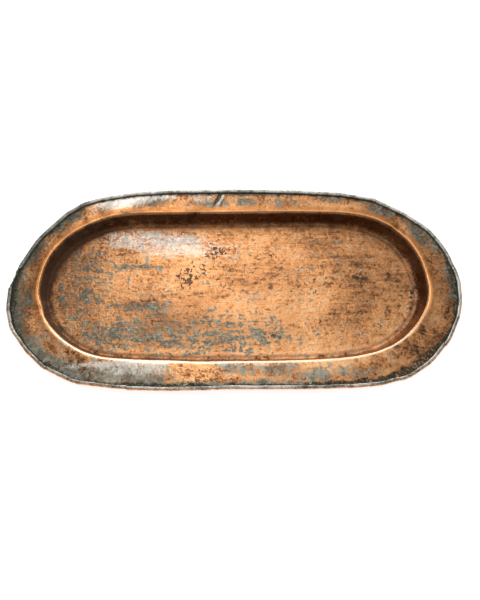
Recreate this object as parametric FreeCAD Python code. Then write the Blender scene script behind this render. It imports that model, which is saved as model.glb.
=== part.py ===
"""Hammered copper tray, built as an old hand-made one is.

One raised copper sheet makes the floor, the wall and the broad rim. An iron wire in two lengths
lies along its cut border, and short tinned copper strips are folded over border and wire together.
One strip, at the left end, has lost its top fold. Three small rivets close pinholes at the foot of
the wall. Millimetres, +Z up, +X along the tray, origin under the middle on the surface it rests on.
"""

import FreeCAD, Part
import math
import os

V = FreeCAD.Vector
UP = V(0, 0, 1)

# The sheet
SHEET = 1.2  # thickness of the copper sheet
WELL_DEPTH = 24.0  # from the rim's top face down to the floor
WALL_SLOPE = math.radians(73)  # of the wall, from the horizontal
MOUTH_BEND = 3.0  # radius of the sheet's under face where the rim turns down
FOOT_BEND = 3.0  # radius of the sheet's top face where the wall meets the floor
FLOOR_SHIFT = 3.0  # how far the floor lies to the left of the mouth, so the left wall is steeper
BEND_STEPS = 4  # facets round each bend
RING_POINTS = 72  # points that carry each ring of the well
BEND_SHARE = 0.48  # most of a border straight that the bend at one of its ends may take
RIM_TOP = SHEET + WELL_DEPTH

# The rolled edge
WIRE_RADIUS = 1.5
STRIP = 0.7  # thickness of the folded strips
PLAY = 0.05  # gap between strip, sheet and wire
STRIP_FOOT = 5.0  # how far the strip's lower leg runs in under the rim
LIP_END = 0.4  # height of the strip's inner lip above the rim's top face
JOINT_GAP = 0.8  # between neighbouring strips
WIRE_SET_BACK = 1.5  # how far each wire end sits inside its last strip
# Height above the rim's top face of what is left of the torn strip, at even steps along it
TORN_LINE = [1.4, 1.9, 0.6, 2.0, 1.2, 0.9, 1.9]

# The repair rivets: places on the floor, shank, and head
RIVET_PLACES = [(244.0, -3.0), (242.5, -10.0), (240.5, -25.5)]
RIVET_SHANK = 1.0
RIVET_HEAD = 2.2
RIVET_HEAD_HEIGHT = 0.9

# The cut border of the sheet, which is also the line of the wire, anticlockwise from the right end.
# It was cut and folded by eye, so it is a run of short straights: corner x, y, and bend radius.
BORDER = [
    (301.5, -24, 60),
    (302, 8, 60),
    (289.5, 48, 70),
    (269, 80, 60),
    (238.5, 104, 60),
    (197, 127, 50),
    (150, 135.5, 90),
    (85, 139.5, 200),
    (-10, 141, 200),
    (-90, 140, 150),
    (-150, 136, 60),
    (-190, 128, 50),
    (-215, 119.5, 25),
    (-237, 104.5, 30),
    (-272.5, 66.5, 90),
    (-295, 23, 60),
    (-303, -4, 40),
    (-303, -34, 40),
    (-295, -63, 40),
    (-273, -92, 50),
    (-246, -116, 40),
    (-208, -134, 70),
    (-155, -140.5, 120),
    (-92, -142.5, 150),
    (-5, -140.5, 200),
    (70, -140.5, 200),
    (150, -139.5, 100),
    (186, -136.5, 60),
    (224, -126.5, 60),
    (257, -104.5, 40),
    (280.5, -77, 50),
    (295.5, -47, 50),
]

# The line where the rim starts to turn down into the well, anticlockwise from the right end.
MOUTH = [
    (264.5, 0),
    (258, 34),
    (243, 65),
    (220, 88),
    (189, 103.5),
    (150, 110.5),
    (90, 112.5),
    (0, 111.5),
    (-90, 110.5),
    (-140, 109.5),
    (-175, 105),
    (-207, 92),
    (-237, 71),
    (-257, 44),
    (-267.5, 8),
    (-266, -24),
    (-252, -54),
    (-228, -79),
    (-190, -99),
    (-140, -105.5),
    (-60, -108.5),
    (40, -108),
    (130, -105),
    (170, -99.5),
    (200, -90),
    (232, -69),
    (256, -38),
]

# The strips, anticlockwise from the lap at the right end: each name, and where that strip ends.
LAP = (277, -86)
STRIPS = [
    ("right_middle", (298, 27)),
    ("right_upper", (279, 70)),
    ("back_right_corner", (256, 92)),
    ("back_right_shoulder", (199, 127)),
    ("back_right", (-26, 141)),
    ("back_left", (-150, 137)),
    ("back_left_shoulder", (-186, 130)),
    ("back_left_corner", (-221, 118)),
    ("left_upper", (-294.5, 25)),
    ("left_torn", (-303, -5)),
    ("left_middle", (-295, -64)),
    ("left_lower", (-246, -116)),
    ("front_left_corner", (-140, -141)),
    ("front_left", (-30, -141)),
    ("front_right", (121, -140)),
    ("front_right_shoulder", (212, -129)),
    ("front_right_corner", (252, -106)),
    ("right_lower", LAP),
]


def unit(a, b):
    """The direction from a to b."""
    return (b - a).normalize()


def border_edges(height):
    """The border as straight runs joined by tangent arcs, one list of edges, anticlockwise."""
    edges = []
    bends = []
    for n, (x, y, radius) in enumerate(BORDER):
        here = V(x, y, height)
        back = V(*BORDER[n - 1][:2], height)
        ahead = V(*BORDER[(n + 1) % len(BORDER)][:2], height)
        into, out = unit(back, here), unit(here, ahead)
        half = into.getAngle(out) / 2
        reach = radius * math.tan(half)
        room = BEND_SHARE * min((here - back).Length, (ahead - here).Length)
        reach = min(reach, room)
        radius = reach / math.tan(half)
        inward = (out - into).normalize()
        middle = here + inward * (radius / math.cos(half) - radius)
        bends.append((here - into * reach, middle, here + out * reach))
    for n, (start, middle, end) in enumerate(bends):
        edges.append(Part.Arc(start, middle, end).toShape())
        edges.append(Part.LineSegment(end, bends[(n + 1) % len(bends)][0]).toShape())
    return edges


class Border:
    """The border line at one height, measured along from the lap."""

    def __init__(self, height):
        self.height = height
        self.edges = border_edges(height)
        self.length = sum(e.Length for e in self.edges)
        self.start = 0.0
        self.start = self.along(*LAP)

    def along(self, x, y):
        """Distance from the lap, along the border, to the point nearest to x, y."""
        spot = Part.Vertex(V(x, y, self.height))
        passed, best = 0.0, None
        for edge in self.edges:
            gap, pairs, _ = edge.distToShape(spot)
            if best is None or gap < best[0]:
                at = edge.Curve.parameter(pairs[0][0])
                best = (gap, passed + edge.Curve.length(edge.FirstParameter, at))
            passed += edge.Length
        return (best[1] - self.start) % self.length

    def stretch(self, first, last):
        """The part of the border between two distances, as a wire."""
        pieces = []
        passed = -self.start
        for edge in self.edges * 2:
            low, high = max(first, passed), min(last, passed + edge.Length)
            if high - low > 1e-6:
                span = (edge.LastParameter - edge.FirstParameter) / edge.Length
                a = edge.FirstParameter + span * (low - passed)
                b = edge.FirstParameter + span * (high - passed)
                pieces.append(edge.Curve.toShape(a, b))
            passed += edge.Length
        return Part.Wire(pieces)


def mouth_points():
    """Evenly spaced points round the mouth of the well, each with its inward normal."""
    curve = Part.BSplineCurve()
    curve.interpolate(Points=[V(x, y, 0) for x, y in MOUTH], PeriodicFlag=True)
    edge = curve.toShape()
    found = []
    for n in range(RING_POINTS):
        at = edge.getParameterByLength(edge.Length * n / RING_POINTS)
        tangent = edge.tangentAt(at)
        found.append((edge.valueAt(at), V(-tangent.y, tangent.x, 0).normalize()))
    return found


def ring(points, inset, height):
    """A closed smooth ring, inset from the mouth by that much, at that height."""
    curve = Part.BSplineCurve()
    knots = [n / len(points) for n in range(len(points) + 1)]
    shift = V(-FLOOR_SHIFT * (RIM_TOP - height) / WELL_DEPTH, 0, height)
    curve.interpolate(
        Points=[p + inward * inset + shift for p, inward in points],
        Parameters=knots,
        PeriodicFlag=True,
    )
    return Part.Wire(curve.toShape())


def wall_profile(mouth_radius, foot_radius, rim_height, floor_height):
    """One face of the sheet from rim to floor, as inset and height of each ring."""
    turn = 1 - math.cos(WALL_SLOPE)
    drop = rim_height - floor_height - (mouth_radius + foot_radius) * turn
    straight = drop / math.sin(WALL_SLOPE)
    run = (mouth_radius + foot_radius) * math.sin(WALL_SLOPE) + straight * math.cos(WALL_SLOPE)
    slopes = [WALL_SLOPE * n / BEND_STEPS for n in range(BEND_STEPS + 1)]
    mouth = [
        (mouth_radius * math.sin(a), rim_height - mouth_radius * (1 - math.cos(a)))
        for a in slopes
    ]
    foot = [
        (run - foot_radius * math.sin(a), floor_height + foot_radius * (1 - math.cos(a)))
        for a in reversed(slopes)
    ]
    return mouth + foot


def well_faces(points, profile):
    """The ruled faces between the rings of one face of the sheet, and the first and last ring."""
    rings = [ring(points, inset, height) for inset, height in profile]
    return Part.makeLoft(rings, False, True).Faces, rings[0], rings[-1]


def tray_sheet(rivet_holes):
    """The raised sheet: floor, wall and rim in one piece."""
    points = mouth_points()
    top_profile = wall_profile(MOUTH_BEND + SHEET, FOOT_BEND, RIM_TOP, SHEET)
    under_profile = wall_profile(MOUTH_BEND, FOOT_BEND + SHEET, RIM_TOP - SHEET, 0)
    top, top_mouth, top_foot = well_faces(points, top_profile)
    under, under_mouth, under_foot = well_faces(points, under_profile)
    outer_top = Part.Wire(border_edges(RIM_TOP))
    outer_under = Part.Wire(border_edges(RIM_TOP - SHEET))
    faces = [
        *top,
        *under,
        Part.Face(top_foot),
        Part.Face(under_foot),
        *Part.makeFace([outer_top, top_mouth], "Part::FaceMakerBullseye").Faces,
        *Part.makeFace([outer_under, under_mouth], "Part::FaceMakerBullseye").Faces,
        *outer_under.extrude(UP * SHEET).Faces,
    ]
    shell = Part.makeShell(faces)
    shell.sewShape()
    solid = Part.makeSolid(shell)
    if solid.Volume < 0:
        solid.reverse()
    return solid.cut(Part.makeCompound(rivet_holes))


def swept(section_edges, path):
    """A section, drawn in the plane across the start of the path, carried along it upright."""
    pipe = Part.BRepOffsetAPI.MakePipeShell(path)
    pipe.setBiNormalMode(UP)
    pipe.add(Part.Wire(section_edges))
    pipe.build()
    pipe.makeSolid()
    return pipe.shape()


def across(path):
    """A function that turns section coordinates (outward, above the rim) into a point at the
    start of the path."""
    start = path.OrderedEdges[0]
    at = start.FirstParameter
    origin = start.valueAt(at)
    along = start.tangentAt(at)
    outward = V(along.y, -along.x, 0)

    def place(out, above):
        return origin + outward * out + UP * above

    return place


def strip_section(place):
    """The folded strip's cross-section: leg under the rim, bow round the border, fold over the
    wire, and lip down to the rim."""
    fold = WIRE_RADIUS + PLAY  # inner radius of the fold over the wire
    crown = 2 * fold  # height of the strip's inner face above the rim
    leg = -(SHEET + PLAY)  # height of the leg's top face
    bow = (crown - leg) / 2  # inner radius of the bow round the border
    waist = (crown + leg) / 2
    diagonal = math.sqrt(0.5)

    def line(a, b):
        return Part.LineSegment(place(*a), place(*b)).toShape()

    def arc(a, b, c):
        return Part.Arc(place(*a), place(*b), place(*c)).toShape()

    outer_bow, outer_fold = bow + STRIP, fold + STRIP
    return [
        line((-STRIP_FOOT, leg), (0, leg)),
        arc((0, leg), (bow, waist), (0, crown)),
        arc((0, crown), (-fold * diagonal, fold + fold * diagonal), (-fold, fold)),
        line((-fold, fold), (-fold, LIP_END)),
        line((-fold, LIP_END), (-outer_fold, LIP_END)),
        line((-outer_fold, LIP_END), (-outer_fold, fold)),
        arc(
            (-outer_fold, fold),
            (-outer_fold * diagonal, fold + outer_fold * diagonal),
            (0, crown + STRIP),
        ),
        arc((0, crown + STRIP), (outer_bow, waist), (0, leg - STRIP)),
        line((0, leg - STRIP), (-STRIP_FOOT, leg - STRIP)),
        line((-STRIP_FOOT, leg - STRIP), (-STRIP_FOOT, leg)),
    ]


def edge_strip(border, first, last):
    path = border.stretch(first + JOINT_GAP / 2, last - JOINT_GAP / 2)
    return swept(strip_section(across(path)), path)


def torn(strip):
    """What is left of a strip whose top fold has broken away: everything below a ragged line."""
    box = strip.BoundBox
    box.enlarge(1)
    ragged = [V(box.XMin, box.YMin, box.ZMax)]
    for n, height in enumerate(TORN_LINE):
        y = box.YMin + box.YLength * n / (len(TORN_LINE) - 1)
        ragged.append(V(box.XMin, y, RIM_TOP + height))
    ragged.append(V(box.XMin, box.YMax, box.ZMax))
    cutter = Part.Face(Part.makePolygon([*ragged, ragged[0]])).extrude(V(box.XLength, 0, 0))
    return max(strip.cut(cutter).Solids, key=lambda s: s.Volume)


def edge_wire(border, first, last):
    path = border.stretch(first, last)
    place = across(path)
    above = WIRE_RADIUS + PLAY
    circle = [
        Part.Arc(
            place(WIRE_RADIUS, above), place(0, above + side), place(-WIRE_RADIUS, above)
        ).toShape()
        for side in (WIRE_RADIUS, -WIRE_RADIUS)
    ]
    return swept(circle, path)


def rivets():
    """The rivets, and the holes they fill."""
    made, holes = [], []
    crown = (RIVET_HEAD**2 + RIVET_HEAD_HEIGHT**2) / (2 * RIVET_HEAD_HEIGHT)
    for x, y in RIVET_PLACES:
        shank = Part.makeCylinder(RIVET_SHANK, SHEET, V(x, y, 0))
        ball = Part.makeSphere(crown, V(x, y, SHEET + RIVET_HEAD_HEIGHT - crown))
        slab = Part.makeCylinder(RIVET_HEAD + 1, RIVET_HEAD_HEIGHT + 1, V(x, y, SHEET))
        made.append(ball.common(slab).fuse(shank))
        holes.append(shank)
    return Part.makeCompound(made), holes


def build():
    border = Border(RIM_TOP)
    riveted, holes = rivets()
    nodes = {"tray_sheet": tray_sheet(holes), "repair_rivets": riveted}
    first = 0.0
    for name, end in STRIPS:
        last = border.along(*end) or border.length
        strip = edge_strip(border, first, last)
        if name == "left_torn":
            nodes["edge_wire_back"] = edge_wire(border, WIRE_SET_BACK, first - WIRE_SET_BACK)
            nodes["edge_wire_front"] = edge_wire(
                border, last + WIRE_SET_BACK, border.length - WIRE_SET_BACK
            )
            strip = torn(strip)
        nodes["edge_strip_" + name] = strip
        first = last
    return nodes


os.makedirs("parts", exist_ok=True)
middle = Part.Wire(border_edges(0)).BoundBox.Center
for node, shape in build().items():
    shape.translate(-middle)
    shape.exportStep(f"parts/{node}.step")
    box = shape.BoundBox
    print(
        f"{node:34s} valid {shape.isValid()}  solids {len(shape.Solids)}"
        f"  {shape.Volume / 1000:8.2f} cm3  z {box.ZMin:6.2f} to {box.ZMax:6.2f}"
    )
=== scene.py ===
"""A hammered copper tray: its sheet, folded edge strips, wires and rivets, and the stage.

Laid out as an add-on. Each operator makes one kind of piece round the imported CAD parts.
"""

import math

import bmesh
import bpy
import numpy as np
from bpy.props import FloatProperty, FloatVectorProperty, IntProperty, PointerProperty
from bpy.types import Operator, Panel, PropertyGroup
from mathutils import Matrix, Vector
from mathutils.bvhtree import BVHTree


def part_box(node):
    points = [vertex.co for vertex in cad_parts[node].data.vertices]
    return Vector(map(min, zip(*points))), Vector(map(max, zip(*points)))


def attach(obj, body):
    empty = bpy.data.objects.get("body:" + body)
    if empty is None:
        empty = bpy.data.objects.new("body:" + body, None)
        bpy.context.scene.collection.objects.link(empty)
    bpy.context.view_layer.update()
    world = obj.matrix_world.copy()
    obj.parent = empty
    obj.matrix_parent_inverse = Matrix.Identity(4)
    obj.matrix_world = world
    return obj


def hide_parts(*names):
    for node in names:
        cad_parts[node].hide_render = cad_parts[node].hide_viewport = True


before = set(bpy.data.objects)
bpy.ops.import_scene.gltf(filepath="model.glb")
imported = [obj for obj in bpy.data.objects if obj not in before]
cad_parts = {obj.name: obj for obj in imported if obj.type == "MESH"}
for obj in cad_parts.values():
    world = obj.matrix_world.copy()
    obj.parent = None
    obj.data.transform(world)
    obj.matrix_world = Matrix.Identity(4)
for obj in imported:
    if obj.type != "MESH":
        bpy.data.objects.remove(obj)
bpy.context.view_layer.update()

bl_info = {
    "name": "Hammered copper tray",
    "version": (1, 0, 0),
    "blender": (4, 5, 0),
    "location": "3D View > Sidebar > Tray",
    "description": "Raises a hammered copper tray with a folded, wired edge",
    "category": "Add Mesh",
}

MM = 0.001
SHEET_NODE = "tray_sheet"
RIVET_NODE = "repair_rivets"
WIRE_NODES = sorted(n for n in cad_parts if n.startswith("edge_wire"))
STRIP_NODES = sorted(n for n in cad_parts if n.startswith("edge_strip"))
TORN_STRIP = "edge_strip_left_torn"
RIM_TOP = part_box(SHEET_NODE)[1].z
SHEET = 1.2 * MM
FLOOR_TOP = SHEET


# ---- Nodes as expressions


def plug(tree, socket, value):
    """Give a socket a link, or set its own value. One number fills a vector; colours are opaque."""
    if isinstance(value, Sock):
        tree.links.new(value.socket, socket)
    elif socket.type == "VECTOR" and isinstance(value, (int, float)):
        socket.default_value = (value, value, value)
    elif socket.type == "RGBA":
        socket.default_value = (*value, 1)
    else:
        socket.default_value = value


class Graph:
    """A node tree that nodes are added to one expression at a time."""

    def __init__(self, tree):
        self.tree = tree

    def node(self, kind, settings=None, inputs=None, out=0):
        """Add a node: its settings first, then its sockets, by name or by number."""
        node = self.tree.nodes.new(kind)
        for name, value in (settings or {}).items():
            setattr(node, name, value)
        for name, value in (inputs or {}).items():
            plug(self.tree, pick(node.inputs, name), value)
        return Sock(self, pick(node.outputs, out))


def pick(sockets, name):
    """The socket with that number, or the first one in use with that name."""
    if isinstance(name, int):
        return sockets[name]
    return next(s for s in sockets if s.enabled and s.name == name)


class Sock:
    """A socket that sums itself: each operator adds a Math or a Vector Math node."""

    def __init__(self, graph, socket):
        self.graph = graph
        self.socket = socket

    def maths(self, operation, *values):
        vector = any(isinstance(v, Sock) and v.socket.type == "VECTOR" for v in values)
        kind = "ShaderNodeVectorMath" if vector else "ShaderNodeMath"
        return self.graph.node(kind, {"operation": operation}, dict(enumerate(values)))

    def __add__(self, other):
        return self.maths("ADD", self, other)

    def __radd__(self, other):
        return self.maths("ADD", other, self)

    def __sub__(self, other):
        return self.maths("SUBTRACT", self, other)

    def __rsub__(self, other):
        return self.maths("SUBTRACT", other, self)

    def __mul__(self, other):
        return self.maths("MULTIPLY", self, other)

    def __rmul__(self, other):
        return self.maths("MULTIPLY", other, self)

    def __truediv__(self, other):
        return self.maths("DIVIDE", self, other)

    def __rtruediv__(self, other):
        return self.maths("DIVIDE", other, self)

    def size(self):
        return self.maths("ABSOLUTE", self)

    def larger(self, other):
        return self.maths("MAXIMUM", self, other)

    def step(self, low, high):
        """0 below low, 1 above high, and smooth between them."""
        return self.graph.node(
            "ShaderNodeMapRange",
            {"interpolation_type": "SMOOTHSTEP"},
            {"Value": self, "From Min": low, "From Max": high},
        )


def mix(factor, first, second):
    """The colour first, turned into the colour second by factor."""
    values = {"Factor": factor, "A": first, "B": second}
    return factor.graph.node("ShaderNodeMix", {"data_type": "RGBA"}, values, out="Result")


def ramp(value, *stops):
    """The colour at value, between stops of a place and a colour each."""
    found = value.graph.node("ShaderNodeValToRGB", None, {"Fac": value})
    elements = found.socket.node.color_ramp.elements
    while len(elements) < len(stops):
        elements.new(0.5)
    for element, (place, colour) in zip(elements, stops):
        element.position = place
        element.color = (*colour, 1)
    return found


def raw_noise(graph, where, scale, detail=2.0, rough=0.5, distort=0.0, out=0):
    """Smooth noise from 0 to 1, or three of them as a colour."""
    values = {"Vector": where, "Scale": scale, "Detail": detail, "Roughness": rough, "Distortion": distort}
    return graph.node("ShaderNodeTexNoise", {"noise_dimensions": "3D"}, values, out)


def noise(graph, where, size, detail=3.0, rough=0.5, distort=0.0):
    """Smooth noise whose lumps are about that many metres across, from 0 to 1."""
    return raw_noise(graph, where, 0.6 / size, detail, rough, distort)


def stretched(graph, where, scale, turn=0.0):
    """The same place, with its axes stretched and turned about the upright."""
    values = {"Vector": where, "Scale": scale, "Rotation": (0, 0, turn)}
    return graph.node("ShaderNodeMapping", {"vector_type": "POINT"}, values)


def vector(graph, x=0, y=0, z=0):
    return graph.node("ShaderNodeCombineXYZ", None, {"X": x, "Y": y, "Z": z})


def axes(graph, place):
    """The three parts of a vector."""
    split = graph.node("ShaderNodeSeparateXYZ", None, {0: place}).socket.node
    return [Sock(graph, part) for part in split.outputs]


def attribute(graph, name):
    return graph.node("ShaderNodeAttribute", {"attribute_name": name}, out="Fac")


def near(value, middle, full, none):
    """1 within full of the middle, 0 beyond none, and smooth between them."""
    return 1 - (value - middle).size().step(full, none)


def new_material(name):
    """A material, its graph and its Principled shader."""
    material = bpy.data.materials.new(name)
    material.use_nodes = True
    graph = Graph(material.node_tree)
    shader = material.node_tree.nodes["Principled BSDF"]
    where = graph.node("ShaderNodeTexCoord", out="Object")
    return material, graph, shader, where


def dress(graph, shader, **inputs):
    """Set the Principled shader's sockets; an underscore stands for a space."""
    for name, value in inputs.items():
        plug(graph.tree, shader.inputs[name.replace("_", " ")], value)


def bumped(graph, height, distance, strength):
    values = {"Height": height, "Distance": distance, "Strength": strength}
    return graph.node("ShaderNodeBump", None, values)


# ---- Geometry node trees


def new_tree(name, numbers, others=None):
    """A geometry tree with named inputs. Returns its graph and the inputs by name."""
    tree = bpy.data.node_groups.new(name, "GeometryNodeTree")
    face = tree.interface
    face.new_socket("Geometry", in_out="INPUT", socket_type="NodeSocketGeometry")
    for label in numbers:
        face.new_socket(label, in_out="INPUT", socket_type="NodeSocketFloat")
    for label, kind in (others or {}).items():
        face.new_socket(label, in_out="INPUT", socket_type=kind)
    face.new_socket("Geometry", in_out="OUTPUT", socket_type="NodeSocketGeometry")
    graph = Graph(tree)
    entry = tree.nodes.new("NodeGroupInput")
    return graph, {s.name: Sock(graph, s) for s in entry.outputs if s.name}


def moved(graph, geometry, offset):
    """Every point of the geometry moved by its own offset."""
    values = {"Geometry": geometry, "Offset": offset}
    return graph.node("GeometryNodeSetPosition", None, values)


def close_tree(graph, geometry, material):
    """End the tree in Realize Instances and Set Material."""
    real = graph.node("GeometryNodeRealizeInstances", None, {"Geometry": geometry})
    done = graph.node("GeometryNodeSetMaterial", None, {"Geometry": real, "Material": material})
    exit_node = graph.tree.nodes.new("NodeGroupOutput")
    graph.tree.links.new(done.socket, exit_node.inputs["Geometry"])
    return graph.tree


def grown(source, tree, values, name):
    """Run the tree on source, and return its result as a plain mesh object."""
    modifier = source.modifiers.new(tree.name, "NODES")
    modifier.node_group = tree
    for item in tree.interface.items_tree:
        if item.item_type == "SOCKET" and item.in_out == "INPUT" and item.name in values:
            modifier[item.identifier] = values[item.name]
    bpy.context.view_layer.update()
    evaluated = source.evaluated_get(bpy.context.evaluated_depsgraph_get())
    mesh = bpy.data.meshes.new_from_object(evaluated)
    source.modifiers.remove(modifier)
    bpy.data.objects.remove(source)
    return linked(name, mesh)


def linked(name, data):
    obj = bpy.data.objects.new(name, data)
    bpy.context.scene.collection.objects.link(obj)
    return obj


# ---- Shapes read from the CAD parts


def merged_copy(node):
    """A bmesh copy of a CAD part with its loose triangles joined up."""
    bm = bmesh.new()
    bm.from_mesh(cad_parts[node].data)
    bmesh.ops.remove_doubles(bm, verts=bm.verts, dist=0.002 * MM)
    bm.normal_update()
    return bm


def level_loops(bm, height):
    """The closed outlines of the flat face at that height, the longest first."""

    def ends_face(edge):
        level = all(abs(v.co.z - height) < 0.01 * MM for v in edge.verts)
        return level and sum(f.normal.z > 0.999 for f in edge.link_faces) == 1

    beside = {}
    for edge in filter(ends_face, bm.edges):
        a, b = edge.verts
        beside.setdefault(a, []).append(b)
        beside.setdefault(b, []).append(a)
    loops = []
    while beside:
        here, (ahead, *_) = next(iter(beside.items()))
        loop = [here]
        while ahead is not None:
            loop.append(ahead)
            ahead = next((v for v in beside[ahead] if v not in loop[-2:] and v is not here), None)
        for v in loop:
            beside.pop(v)
        loops.append(np.array([v.co[:2] for v in loop]))
    loops = [anticlockwise(loop) for loop in loops]
    return sorted(loops, key=lambda loop: -run_lengths(loop)[-1])


def anticlockwise(loop):
    """The loop turned the right way and started at its rightmost point."""
    x, y = loop.T
    if (x * np.roll(y, -1) - np.roll(x, -1) * y).sum() < 0:
        loop = loop[::-1]
    return np.roll(loop, -int(loop[:, 0].argmax()), axis=0)


def run_lengths(loop):
    """Distance along the closed loop at each of its points, and at its end."""
    steps = np.linalg.norm(np.roll(loop, -1, axis=0) - loop, axis=1)
    return np.concatenate([[0], steps.cumsum()])


def on_loop(loop, at):
    """Points of the closed loop at the given distances along it."""
    lengths = run_lengths(loop)
    closed = np.vstack([loop, loop[:1]])
    at = np.asarray(at) % lengths[-1]
    return np.stack([np.interp(at, lengths, closed[:, k]) for k in (0, 1)], axis=-1)


def nearest_on(loop, point):
    """Distance along the closed loop to its point nearest to the given one."""
    ahead = np.roll(loop, -1, axis=0) - loop
    share = ((point - loop) * ahead).sum(1) / np.maximum((ahead**2).sum(1), 1e-18)
    share = share.clip(0, 1)
    gap = np.linalg.norm(loop + ahead * share[:, None] - point, axis=1)
    best = gap.argmin()
    lengths = run_lengths(loop)
    return lengths[best] + share[best] * (lengths[best + 1] - lengths[best])


def ray_to(loop, starts, directions):
    """Distance from each start, along its direction, to where it first meets the loop."""
    a = loop[None]
    d = (np.roll(loop, -1, axis=0) - loop)[None]
    p, n = starts[:, None], directions[:, None]
    cross = n[..., 0] * d[..., 1] - n[..., 1] * d[..., 0]
    cross = np.where(np.abs(cross) < 1e-12, 1e-12, cross)
    gap = a - p
    reach = (gap[..., 0] * d[..., 1] - gap[..., 1] * d[..., 0]) / cross
    share = (gap[..., 0] * n[..., 1] - gap[..., 1] * n[..., 0]) / cross
    hit = (share >= -1e-6) & (share <= 1 + 1e-6) & (reach > 0)
    return np.where(hit, reach, np.inf).min(axis=1)


# ---- The sheet

ACROSS = 41  # squares from the floor's long middle line to its side
ALONG = 107  # squares from the floor's middle to its end
RIM_RINGS = 15
WALL_RINGS = 15
FAR = 100 * MM  # stands for the distance from the folded edge to all of the wall and floor


def floor_grid(foot):
    """A grid of squares filling the foot outline: plan positions, and how far in each lies."""
    around = 4 * (ALONG + ACROSS)
    step = run_lengths(foot)[-1] / around
    middle = (foot.max(0) + foot.min(0)) / 2
    reach = (ALONG - ACROSS) * step
    sides = np.arange(-ALONG, ALONG + 1.0), np.arange(-ACROSS, ACROSS + 1.0)
    i, j = np.meshgrid(*sides, indexing="ij")
    ring = np.minimum(ALONG - abs(i), ACROSS - abs(j))
    at_end = (ALONG - abs(i)) <= (ACROSS - abs(j))
    half_long = ALONG - ring
    half_short = np.maximum(ACROSS - ring, 1e-9)
    up = np.where(at_end, j / half_short * ACROSS, np.sign(j + 0.5) * ACROSS)
    over = np.where(at_end, np.sign(i) * ALONG, i / half_long * ALONG)
    # distance round the outline from its right-hand point, in squares
    right, top = up, ACROSS + ALONG - over
    left, bottom = 2 * ACROSS + 2 * ALONG - up, 3 * ACROSS + 3 * ALONG + over
    at = np.where(at_end, np.where(i > 0, right, left), np.where(j >= 0, top, bottom))
    edge = on_loop(foot, at * step)
    share = np.where(at_end, np.sign(i), over / ALONG)
    inner = np.stack([middle[0] + share * reach, np.full_like(share, middle[1])], axis=-1)
    depth = (ring / ACROSS)[..., None]
    return edge * (1 - depth) + inner * depth, ring * step


def boundary_order():
    """Grid indices round the floor's edge, anticlockwise from the middle of its right end."""
    i = [ALONG] * ACROSS + list(range(ALONG, -ALONG, -1))
    j = list(range(0, ACROSS)) + [ACROSS] * (2 * ALONG)
    i += [-ALONG] * (2 * ACROSS) + list(range(-ALONG, ALONG))
    j += list(range(ACROSS, -ACROSS, -1)) + [-ACROSS] * (2 * ALONG)
    i += [ALONG] * ACROSS
    j += list(range(-ACROSS, 0))
    return (np.array(i) + ALONG) * (2 * ACROSS + 1) + np.array(j) + ACROSS


def sheet_plan():
    """The sheet's plan, its faces, and how far each place lies from the mouth, border and foot."""
    bm = merged_copy(SHEET_NODE)
    border, mouth = level_loops(bm, RIM_TOP)[:2]
    foot = level_loops(bm, FLOOR_TOP)[0]
    grid, deep = floor_grid(foot)
    order = boundary_order()
    foot_ring = grid.reshape(-1, 2)[order]
    along = np.roll(foot_ring, -1, axis=0) - np.roll(foot_ring, 1, axis=0)
    outward = np.stack([along[:, 1], -along[:, 0]], axis=1)
    outward /= np.linalg.norm(outward, axis=1)[:, None]
    for _ in range(6):
        outward = (np.roll(outward, 1, axis=0) + outward * 2 + np.roll(outward, -1, axis=0)) / 4
    outward /= np.linalg.norm(outward, axis=1)[:, None]
    wall_run = ray_to(mouth, foot_ring, outward)
    mouth_ring = foot_ring + outward * wall_run[:, None]
    rim_run = ray_to(border, mouth_ring + outward * 1e-6, outward)
    plan, off_foot = [grid.reshape(-1, 2)], [deep.ravel()]
    inset = [deep.ravel() + wall_run.mean()]
    edge_gap = [np.full(deep.size, FAR)]
    for ring in range(1, WALL_RINGS + RIM_RINGS + 1):
        up_wall = min(ring / WALL_RINGS, 1)
        over_rim = max(ring - WALL_RINGS, 0) / RIM_RINGS
        out = wall_run * up_wall + rim_run * over_rim
        plan.append(foot_ring + outward * out[:, None])
        inset.append(wall_run - out)
        edge_gap.append(rim_run * (1 - over_rim) if over_rim else np.full(len(out), FAR))
        off_foot.append(-out)
    faces = grid_faces(2 * ALONG + 1, 2 * ACROSS + 1)
    inner = order
    start = deep.size
    for _ in range(WALL_RINGS + RIM_RINGS):
        outer = start + np.arange(len(order))
        start += len(order)
        faces += np.column_stack([inner, outer, np.roll(outer, -1), np.roll(inner, -1)]).tolist()
        inner = outer
    lengths = [np.concatenate(found) for found in (inset, edge_gap, off_foot)]
    return bm, np.vstack(plan), faces, *lengths


def grid_faces(rows, columns):
    """The square faces of a grid, as lists of point numbers."""
    i, j = np.meshgrid(np.arange(rows - 1), np.arange(columns - 1), indexing="ij")
    corner = (i * columns + j).ravel()
    return np.column_stack([corner, corner + columns, corner + columns + 1, corner + 1]).tolist()


def dropped(bm, plan, inset):
    """The height of the CAD sheet's top face under each plan position."""
    tree = BVHTree.FromBMesh(bm)
    height = np.where(inset > 8 * MM, FLOOR_TOP, RIM_TOP)
    for n, (x, y) in enumerate(plan):
        hit = tree.ray_cast(Vector((x, y, 1)), Vector((0, 0, -1)))[0]
        if hit and hit.z > FLOOR_TOP - 0.1 * MM:
            height[n] = hit.z
    return height


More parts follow.
